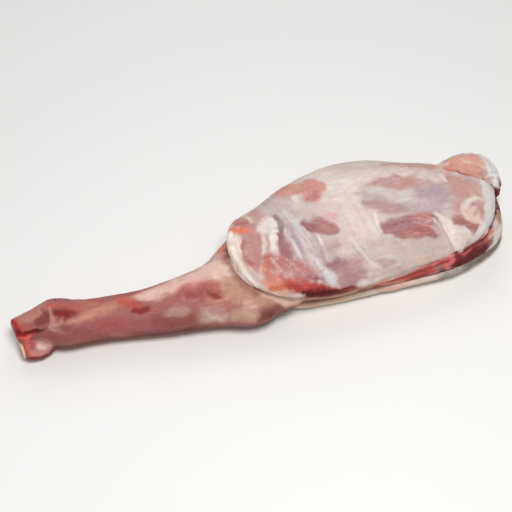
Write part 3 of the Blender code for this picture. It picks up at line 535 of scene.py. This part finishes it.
# soft rolls: x, y, z, radius
lip = [(-25, 14, 47, 4), (-28, 7, 47.5, 5.2), (-30, -4, 47.5, 5.4), (-30.5, -16, 46.5, 4.8),
       (-28, -30, 45, 3.8), (-23, -41, 43.5, 3), (-16, -49, 42, 2.2), (-8, -54, 40.5, 1.2)]
wrap = [(58, -57, 33, 1.2), (68, -59, 34, 2.6), (82, -60, 34, 3.2), (98, -60, 32.5, 3),
        (114, -59.5, 31, 2.4), (130, -58, 31, 1.2)]
wrapBelow = [(56, -55, 27, 1.2), (66, -57.5, 28, 3), (80, -59, 28, 3.6), (95, -59.5, 27.5, 3),
             (110, -60, 27, 1.4)]
boneBed = [(-194, -10.5, 5.2, 1.5), (-191.5, -11.5, 5.8, 2.2), (-189.5, -13, 6.4, 2)]  # under the sawn bone

rollsOnTop = [  # along the surface: x, y, sunk, radius
    [(186, -27, 0.9, 1), (181, -23, 0.9, 1.6), (175, -25, 0.9, 2.4), (170, -24, 1, 2),
     (165, -29, 0.9, 2.6), (163, -34, 1.1, 2.1), (164, -39, 1, 2.3), (168, -44, 1.2, 1.7),
     (174, -46, 1, 1)],  # curl of membrane
    [(178, -31, 1, 0.9), (173, -33, 0.9, 1.5), (169, -37, 1, 1.3)],
    [(176, -37, 1, 0.8), (172, -41, 1, 1.2)],
    [(139.5, -29, 1, 0.8), (141, -35, 0.9, 1.3), (141, -42, 0.9, 1.5), (141, -49, 1, 1.4),
     (143, -56, 1, 1.2), (147, -60, 1, 0.9)],  # torn edge
    [(9, 0, 0.9, 1.5), (7, -8, 0.5, 1.9), (3, -17, 0.5, 1.9), (0, -25, 0.9, 1.5)],  # vein
    [(202, 20, 1, 1.6), (205, 13, 0.6, 2.6), (206, 5, 0.6, 2.6), (204, -3, 0.9, 1.8)],  # layers of the flap
    [(176, 17, 1, 1.4), (184, 14, 0.5, 2.3), (192, 10, 0.5, 2.3), (198, 5, 1, 1.6)],
    [(172, 22, 0.9, 1.4), (179, 23, 0.5, 2.2), (187, 23, 0.8, 1.8)],
]


def layOn(thing, path):  # sets each point of a path on the upper face
    laid = []
    for x, y, sunk, radius in path:
        place = thing.ray_cast(Vector((x, y, 90)) / 1000, Vector((0, 0, -1)))[1]
        laid.append((x, y, place.z * 1000 - sunk, radius))
    return laid


def thicker(path, times, more=0):
    return [(x, y, z, radius * times + more) for x, y, z, radius in path]


def clayRoll(path):
    bpy.ops.mesh.primitive_plane_add(size=0.001, location=Vector(path[0][:3]) / 1000)
    roll = bpy.context.object
    bpy.ops.object.transform_apply(location=True)
    bpy.ops.object.mode_set(mode="EDIT")
    bpy.ops.mesh.select_all(action="SELECT")
    bpy.ops.mesh.merge(type="CENTER")
    for before, after in zip(path, path[1:]):
        step = (Vector(after[:3]) - Vector(before[:3])) / 1000
        bpy.ops.mesh.extrude_region_move(TRANSFORM_OT_translate={"value": step})
    bpy.ops.object.mode_set(mode="OBJECT")
    roll.modifiers.new("Skin", "SKIN")
    for corner, stop in zip(roll.data.skin_vertices[0].data, path):
        corner.radius = (stop[3] / 1000, stop[3] / 1000)
    bpy.ops.object.modifier_apply(modifier="Skin")
    shapeWith(roll, "SUBSURF", levels=2, render_levels=2)
    return roll


def sheetBottom(x):  # height where the upper sheet begins, along the part
    return np.interp(x, [-45, -22, 12, 40, 210], [43, 42, 34, 31, 29])


def shankAngle(places):  # how far round the shank each point is, in degrees from its top to the front
    spacing = 8.0
    stops = np.arange(-205, -20, spacing)
    middles = []
    for stop in stops:
        ring = places[np.abs(places[:, 0] - stop) < spacing / 2]
        middles.append((ring[:, 1:].min(axis=0) + ring[:, 1:].max(axis=0)) / 2)
    middles = np.array(middles)
    y = places[:, 1] - np.interp(places[:, 0], stops, middles[:, 0])
    z = places[:, 2] - np.interp(places[:, 0], stops, middles[:, 1])
    return np.degrees(np.arctan2(-y, z))


class Skin:  # colour, fibre, gloss and height of each point, painted layer by layer

    def __init__(self, thing, warps, ragged, tissue):
        places, self.normals = readPoints(thing)
        self.places = places
        wander = np.zeros_like(places)
        for number, (size, reach) in enumerate(warps):
            for axis in range(3):
                wander[:, axis] += reach * grain(places, size, 11 + 3 * number + axis)
        self.warped = places + wander
        self.rough = ragged * grain(places, brush["grain"], 3)
        x, z = places[:, 0], places[:, 2]
        toFront = ramp(x, -36, -26) * (1 - ramp(x, 36, 62)) * ramp(z, 34, 40)
        self.combed = []  # streaks of growing fineness, -1 to 1
        for number, (long, thin) in enumerate(streakSizes):
            straight = streaks(places, streakTurns[0], long, thin, 41 + number)
            frontward = streaks(places, streakTurns[1], long, thin, 51 + number)
            self.combed.append(straight + (frontward - straight) * toFront)
        count = len(places)
        self.colours, self.finish, self.rise = np.zeros((count, 3)), np.zeros((count, 3)), np.zeros(count)
        self.cover(tissue, np.ones(count))

    def cover(self, tissue, share, height=0.0):
        colour, fibre, gloss = tissues[tissue]
        self.colours += (np.array(srgb(*colour)) - self.colours) * share[:, None]
        self.finish += (np.array([fibre, gloss, 0.0]) - self.finish) * share[:, None]
        self.rise += height * share

    def paint(self, marks, plain, wavy, gate, stretch=1.0):
        near = gate > 0.01
        edges = self.rough + brush["wander"][0] * self.combed[0] + brush["wander"][1] * self.combed[1]
        worn = brush["wear"] * ramp(self.combed[1] + 0.5 * self.combed[2], 0.1, 1.0)
        plain, wavy = plain[near] * stretch, wavy[near] * stretch
        for tissue, soft, height, strength, path in marks:
            loose = min(1.0, soft / brush["crisp"])
            route = [(*(np.array(stop[:-1]) * stretch), stop[-1]) for stop in path]
            inside = insidePath(plain + (wavy - plain) * loose, route) + edges[near] * loose
            share = np.zeros(len(gate))
            share[near] = ramp(inside, -soft / 2, soft / 2) * gate[near] * strength
            share[near] *= 1 - worn[near] * loose
            self.cover(tissue, share, height)

    def mottle(self, layers, amounts):  # uneven light and dark
        self.colours *= (1 + sum(amount * layer for amount, layer in zip(amounts, layers)))[:, None]


def strands(fields, seed):  # many thin lines between two edges, as marks
    draw = np.random.default_rng(seed)
    made = []
    for tissue, count, width, strength, rise, *corners in fields:
        startFrom, startTo, endFrom, endTo = np.array(corners)
        for number in range(count):
            share = (number + draw.uniform(0.1, 0.9)) / count
            start = startFrom + (startTo - startFrom) * share
            end = endFrom + (endTo - endFrom) * (share + draw.uniform(-0.08, 0.08))
            first, last = sorted(draw.uniform(0, 1, 2) * 0.5 + np.array([0, 0.5]))
            run = end - start
            bow = draw.uniform(-0.02, 0.10) * np.array([-run[1], run[0]])
            thick = draw.uniform(*width)
            path = []
            for step in np.linspace(first, last, 6):
                place = start + run * step + bow * math.sin(math.pi * step)
                slim = 0.35 + 0.65 * math.sin(math.pi * (step - first) / (last - first))
                path.append((place[0], place[1], thick * slim))
            made.append((tissue, 1.6, rise, draw.uniform(*strength), path))
    return made


def freshSkin(piece, settings, tissue):  # a mesh of small even faces, ready to paint
    shapeWith(piece, "REMESH", mode="VOXEL", voxel_size=settings["voxel"], adaptivity=0)
    shapeWith(piece, "SMOOTH", factor=settings["blur"], iterations=settings["smoothing"])
    return Skin(piece, settings["warp"], settings["ragged"], tissue)


def makeMeat():
    piece = copyOfNode("shoulder", "meat_body")
    rolls = [clayRoll(path) for path in (lip, wrap, wrapBelow, boneBed)]
    rolls += [clayRoll(layOn(piece, path)) for path in rollsOnTop]
    pick(piece, *rolls)
    bpy.ops.object.join()
    skin = freshSkin(piece, meat, "base")
    broad, slim, thread = skin.combed
    places, warped = skin.places, skin.warped
    x, y, z = places.T
    up, front = skin.normals[:, 2], -skin.normals[:, 1]
    angle = shankAngle(places)
    plan, wavyPlan = places[:, :2], warped[:, :2]
    side, wavySide = places[:, [0, 2]], warped[:, [0, 2]]
    around = np.stack([x, angle], axis=1)
    wavyAround = np.stack([warped[:, 0], angle + 3 * (warped[:, 1] - y)], axis=1)

    onBlade = ramp(z - sheetBottom(x), -1.5, 1.5) * ramp(x, -37, -32)
    onTop = onBlade * ramp(up, -0.15, 0.15)
    offBlade = 1 - onBlade
    pastFold = (x - 165) * 0.59 + (y - 17) * 0.81  # how far beyond the crease before the flap
    onFlap = ramp(pastFold, -1, 1.5) * ramp(x, 160, 166) * ramp(z, 20, 32)

    skin.cover("redMuscle", offBlade)
    # painted shade: darker red on the downward faces of the shank
    skin.cover("undersideShade", offBlade * ramp(-up, -0.2, 0.5))
    skin.cover("palePink", offBlade * 0.5 * ramp(broad + 0.6 * slim, 0.45, 1.3), 0.2)
    skin.cover("darkRed", offBlade * 0.4 * ramp(-broad - 0.5 * thread, 0.4, 1.2), -0.2)
    skin.cover("shank", offBlade * (1 - ramp(x, -24, -8)))
    skin.paint(shankMarks, around, wavyAround, offBlade * (1 - ramp(x, -34, -20)), np.array([1, 0.33]))
    armOnTop = offBlade * ramp(up, -0.15, 0.15) * (1 - ramp(x, 0, 8))
    skin.paint(armMarks, plan, wavyPlan, armOnTop)
    # painted shade: dark brown under the arm
    shadeUnderArm = ramp(x, -34, -22) * (1 - ramp(x, 4, 20)) * ramp(-up, -0.02, 0.5)
    skin.cover("shadeBrown", offBlade * shadeUnderArm * 0.85)
    for marks in (bladeTones, strands(strandFields, 5), bladeMarks):
        skin.paint(marks, plan, wavyPlan, onTop)
    plainBand = ramp(24 - np.abs(x - 72), 0, 12)  # fewer films here
    films = onTop * (1 - ramp(x, 160, 175)) * (1 - 0.7 * plainBand)
    skin.cover("silver", films * 0.2 * ramp(slim + 0.6 * broad, 0.35, 1.3), 0.1)
    skin.cover("dusk", films * 0.16 * ramp(-slim - 0.5 * thread, 0.3, 1.2), -0.08)
    ragged = onTop * ramp(insidePath(plan, raggedPatch), -5, 3)
    # painted glints: white specks over the shredded patch
    glintSpecks = ramp(grain(warped, 2.2, 61) + 0.6 * thread, 0.6, 1.3)
    skin.cover("white", ragged * 0.6 * glintSpecks, 0.25)
    skin.cover("wine", ragged * 0.6 * ramp(grain(warped, 3.4, 62), 0.4, 1.0), -0.3)
    skin.paint(strands(fineStrands, 8), plan, wavyPlan, onTop)
    skin.paint(frontMarks, side, wavySide, ramp(front, 0.1, 0.5) * ramp(-y, 30, 38))
    skin.paint(backMarks, side, wavySide, offBlade * ramp(-front, 0.1, 0.5) * ramp(x, -30, -10))
    skin.paint(edgeMarks, places, warped, ramp(x, 140, 146))
    skin.paint(flapMarks, places, warped, onFlap)
    skin.paint(knuckleMarks, places, warped, 1 - ramp(x, -156, -150))
    lipMark = ("lip", 1.6, 0.0, 1.0, thicker(lip[:-2], 1.7, 0.9))
    skin.paint([lipMark], places, warped, np.ones(len(x)))

    # painted shade: colours are darkened and reddened in creases, less so beside the lip
    crease = hollowness(piece, places, skin.normals, meat["creaseRounds"])
    byLip = ramp(insidePath(places, thicker(lip, 2.1)), -6, -1)
    paintedCreaseShade = 1 - meat["creaseShadeDepth"] * (1 - byLip) * ramp(crease, 0.15, 1.2)
    skin.colours *= paintedCreaseShade[:, None] ** np.array(meat["creaseShadeTint"])
    coarse, middling, fine = (grain(places, size, seed) for size, seed in ((10, 1), (4, 2), (2, 6)))
    skin.mottle((coarse, middling, fine), meat["shades"])
    skin.colours *= 1 + meat["flush"] * middling[:, None] * np.array([-1, 1, 1])
    swells = 0.6 * grain(places, meat["lumpSize"], 4) + 0.4 * middling
    lumps = meat["lumpHeight"] * swells + meat["threadHeight"] * fine
    lumps += onFlap * (0.7 * middling + 0.5 * broad)
    lumps += byLip * meat["creaseFill"] * np.clip(crease, 0, 3)
    finished = places + skin.normals * (skin.rise + lumps)[:, None]
    finished[:, 2] = np.maximum(finished[:, 2], meat["lowest"])
    finish(piece, skin, finished, fleshMaterial(), "shoulder")


def finish(piece, skin, places, material, nodeName):
    writePoints(piece, places)
    writeColours(piece, "fleshColour", skin.colours)
    writeColours(piece, "fleshFinish", skin.finish)
    piece.data.materials.clear()
    piece.data.materials.append(material)
    piece.data.shade_smooth()
    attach(piece, "root")
    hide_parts(nodeName)
    print(piece.name, len(places), "points")


# materials

flesh = {
    "dry": 0.78, "wet": 0.22,  # roughness at gloss 0 and 1
    "fibreShade": (0.88, 1.10), "filmShade": (0.93, 1.06), "mottleShade": (0.97, 1.03),
    "bump": 0.5, "bumpDepth": 0.0005, "mottleRelief": 0.35,
    "shader": {
        "Subsurface Weight": 0.15, "Subsurface Radius": (1.0, 0.45, 0.35), "Subsurface Scale": 0.0025,
        "Coat Weight": 0.08, "Coat Roughness": 0.15, "Specular IOR Level": 0.2,
    },
}


def shaded(tree, colour, shade, share=None):  # a colour multiplied by a shade
    mix = tree.nodes.new("ShaderNodeMix")
    mix.data_type = "RGBA"
    mix.blend_type = "MULTIPLY"
    mix.inputs["Factor"].default_value = 1.0
    if share is not None:
        tree.links.new(share, mix.inputs["Factor"])
    tree.links.new(colour, mix.inputs[6])
    tree.links.new(shade, mix.inputs[7])
    return mix.outputs[2]


def spread(tree, value, *limits):
    made = tree.nodes.new("ShaderNodeMapRange")
    for name, number in zip(("From Min", "From Max", "To Min", "To Max"), limits):
        made.inputs[name].default_value = number
    tree.links.new(value, made.inputs["Value"])
    return made.outputs["Result"]


def noiseOver(tree, stretch, turn, detail):
    where = tree.nodes.new("ShaderNodeTexCoord").outputs["Object"]
    along = tree.nodes.new("ShaderNodeMapping")
    along.inputs["Rotation"].default_value = (0, 0, math.radians(turn))
    along.inputs["Scale"].default_value = stretch
    tree.links.new(where, along.inputs["Vector"])
    made = tree.nodes.new("ShaderNodeTexNoise")
    made.inputs["Scale"].default_value = 1.0
    made.inputs["Detail"].default_value = detail
    tree.links.new(along.outputs["Vector"], made.inputs["Vector"])
    return made.outputs["Fac"]


def fleshMaterial(name="raw_flesh", fibreRelief=1.0):
    made = bpy.data.materials.new(name)
    made.use_nodes = True
    tree = made.node_tree
    nodes, links = tree.nodes, tree.links
    surface = nodes["Principled BSDF"]
    colour, finishing = nodes.new("ShaderNodeAttribute"), nodes.new("ShaderNodeAttribute")
    colour.attribute_name, finishing.attribute_name = "fleshColour", "fleshFinish"
    parts = nodes.new("ShaderNodeSeparateColor")
    links.new(finishing.outputs["Color"], parts.inputs["Color"])

    fibres = noiseOver(tree, (60, 800, 800), -6, 4)  # fibres run along the part
    films = noiseOver(tree, (110, 260, 260), 20, 5)
    mottle = noiseOver(tree, (420, 420, 420), 0, 4)

    fibred = spread(tree, fibres, 0.3, 0.7, *flesh["fibreShade"])
    look = shaded(tree, colour.outputs["Color"], fibred, parts.outputs["Red"])
    look = shaded(tree, look, spread(tree, films, 0.3, 0.7, *flesh["filmShade"]))
    look = shaded(tree, look, spread(tree, mottle, 0.3, 0.7, *flesh["mottleShade"]))
    links.new(look, surface.inputs["Base Color"])
    rough = spread(tree, parts.outputs["Green"], 0, 1, flesh["dry"], flesh["wet"])
    links.new(rough, surface.inputs["Roughness"])

    relief = nodes.new("ShaderNodeMath")
    relief.operation = "MULTIPLY_ADD"
    links.new(fibres, relief.inputs[0])
    links.new(parts.outputs["Red"], relief.inputs[1])
    links.new(spread(tree, mottle, 0, 1, 0, flesh["mottleRelief"]), relief.inputs[2])
    bump = nodes.new("ShaderNodeBump")
    bump.inputs["Strength"].default_value = flesh["bump"] * fibreRelief
    bump.inputs["Distance"].default_value = flesh["bumpDepth"]
    links.new(relief.outputs[0], bump.inputs["Height"])
    links.new(bump.outputs["Normal"], surface.inputs["Normal"])

    for name, value in flesh["shader"].items():
        surface.inputs[name].default_value = value
    return made


makeMeat()


# fat side and bone

fatSide = {
    "voxel": 0.0013, "smoothing": 4, "blur": 0.5, "warp": ((14.0, 2.5), (5.0, 0.9)), "ragged": 0.6,
    "lumps": 1.0, "shades": (0.05, 0.04, 0.03), "relief": 0.5,
}

rimMarks = [  # from the front edge, across and up
    ("fatTan", 8, 0, 0.9, [(-20, 20, 16), (10, 18, 18), (50, 16, 14)]),
    ("cream", 4, 0.3, 0.7, [(-16, 30, 4), (4, 24, 4)]),
    ("fascia", 6, 0.2, 0.7, [(62, 15, 10), (74, 16, 8)]),
    ("ruddy", 8, 0, 0.6, [(82, 14, 12), (100, 13, 10)]),
    ("cream", 6, 0.3, 0.6, [(102, 12, 9), (124, 12, 10)]),
    ("fatShade", 8, 0, 0.95, [(138, 12, 16), (160, 12, 20), (190, 12, 16)]),
]


def makeFat():
    piece = copyOfNode("fat_cover", "fat_side")
    skin = freshSkin(piece, fatSide, "fatSide")
    places = skin.places
    front, up = -skin.normals[:, 1], skin.normals[:, 2]
    onRim = ramp(front, -0.1, 0.3) * ramp(-places[:, 1], 20, 30)
    onRim *= 1 - ramp(-up, 0.3, 0.8)  # and none of it underneath
    skin.paint(rimMarks, places[:, [0, 2]], skin.warped[:, [0, 2]], onRim)
    coarse, middling, fine = (grain(places, size, seed) for size, seed in ((18, 21), (7, 22), (2.4, 23)))
    pinker = ramp(coarse + 0.5 * middling, 0.2, 0.9) * 0.5
    skin.cover("palePink", pinker * ramp(-up, -0.4, 0.6))
    skin.cover("ruddy", 0.4 * ramp(middling - 0.5 * coarse, 0.5, 1.3))
    skin.cover("whiteFat", 0.4 * ramp(-coarse - 0.4 * middling, 0.0, 1.2), 0.2)
    skin.cover("wine", 0.35 * ramp(coarse + 0.4 * fine, 0.6, 1.3) * ramp(-up, 0.2, 0.8), -0.2)
    skin.mottle((coarse, middling, fine), fatSide["shades"])
    lumps = fatSide["lumps"] * (0.5 * middling + 0.2 * fine) * ramp(places[:, 2], 0.5, 5)
    finished = places + skin.normals * lumps[:, None]
    finished[:, 2] = np.maximum(finished[:, 2], 0.0)
    finish(piece, skin, finished, fleshMaterial("outer_fat", fatSide["relief"]), "fat_cover")


boneEnd = {
    "voxel": 0.0005, "smoothing": 3, "blur": 0.5, "warp": ((3.0, 0.6),), "ragged": 0.2,
    "marrow": (2.4, 3.4), "rim": (3.6, 4.6), "lumps": 0.35, "rimHeight": 0.6, "relief": 0.6,  # radii in mm
}


def makeBone():
    piece = copyOfNode("shank_bone", "bone_end")
    skin = freshSkin(piece, boneEnd, "cream")
    places = skin.places
    middle = (places.min(axis=0) + places.max(axis=0)) / 2
    out = np.linalg.norm((skin.warped - middle)[:, 1:], axis=1)
    rim = ramp(out, *boneEnd["rim"])
    skin.cover("marrow", 0.85 * (1 - ramp(out, *boneEnd["marrow"])))
    skin.cover("bone", 1 - ramp(-skin.normals[:, 0], 0.25, 0.6))
    skin.cover("marrow", 0.35 * ramp(grain(places, 1.6, 32), 0.4, 1.2))
    skin.cover("crevice", ramp(2.2 - out, 0, 1.5) * 0.5)
    lumps = boneEnd["lumps"] * grain(places, 1.4, 31) + boneEnd["rimHeight"] * rim - 0.5
    lumps -= ramp(places[:, 0], -214.2, -211.5)  # draws in behind the sawn face
    finished = places + skin.normals * lumps[:, None]
    finish(piece, skin, finished, fleshMaterial("sawn_bone", boneEnd["relief"]), "shank_bone")


makeFat()
makeBone()


# floor, light, camera

studio = {
    "floor": (244, 243, 241), "floorSize": 8, "floorRoughness": 0.9, "world": 0.31,
    "key": ((-0.06, -0.45, 1.06), 0.33, 8.8), "back": ((0.2, 0.75, 0.9), 0.9, 2.6),  # place, size, power
    "aim": (0.02, 0, 0),
}

bpy.ops.mesh.primitive_plane_add(size=studio["floorSize"], location=(0, 0, 0))
floor = bpy.context.object
floor.name = "floor"
paper = bpy.data.materials.new("floor_paper")
paper.use_nodes = True
paperShader = paper.node_tree.nodes["Principled BSDF"]
paperShader.inputs["Base Color"].default_value = (*srgb(*studio["floor"]), 1)
paperShader.inputs["Roughness"].default_value = studio["floorRoughness"]
floor.data.materials.append(paper)


def softLight(name, place, size, power):
    bpy.ops.object.light_add(type="AREA", location=place)
    light = bpy.context.object
    light.name = name
    light.data.size = size
    light.data.energy = power
    light.rotation_euler = (Vector(studio["aim"]) - Vector(place)).to_track_quat("-Z", "Y").to_euler()


softLight("key", *studio["key"])
softLight("back", *studio["back"])
world = bpy.data.worlds.new("studio")
bpy.context.scene.world = world
world.use_nodes = True
sky = world.node_tree.nodes["Background"]
sky.inputs["Color"].default_value = (1, 1, 1, 1)
sky.inputs["Strength"].default_value = studio["world"]
bpy.context.scene.view_settings.view_transform = "Standard"

view = {
    "target": (-0.006664, 0.006026, 0.02), "around": -20.3, "above": 50, "away": 1.02,
    "lens": 85, "sensor": 36,
}
turn, rise = math.radians(view["around"]), math.radians(view["above"])
back = Vector((math.sin(turn) * math.cos(rise), -math.cos(turn) * math.cos(rise), math.sin(rise)))
stand = Vector(view["target"]) + back * view["away"]
bpy.ops.object.camera_add(location=stand, rotation=(math.pi / 2 - rise, 0, turn))
camera = bpy.context.object
camera.data.lens = view["lens"]
camera.data.sensor_width = view["sensor"]
bpy.context.scene.camera = camera
print("studio ready")
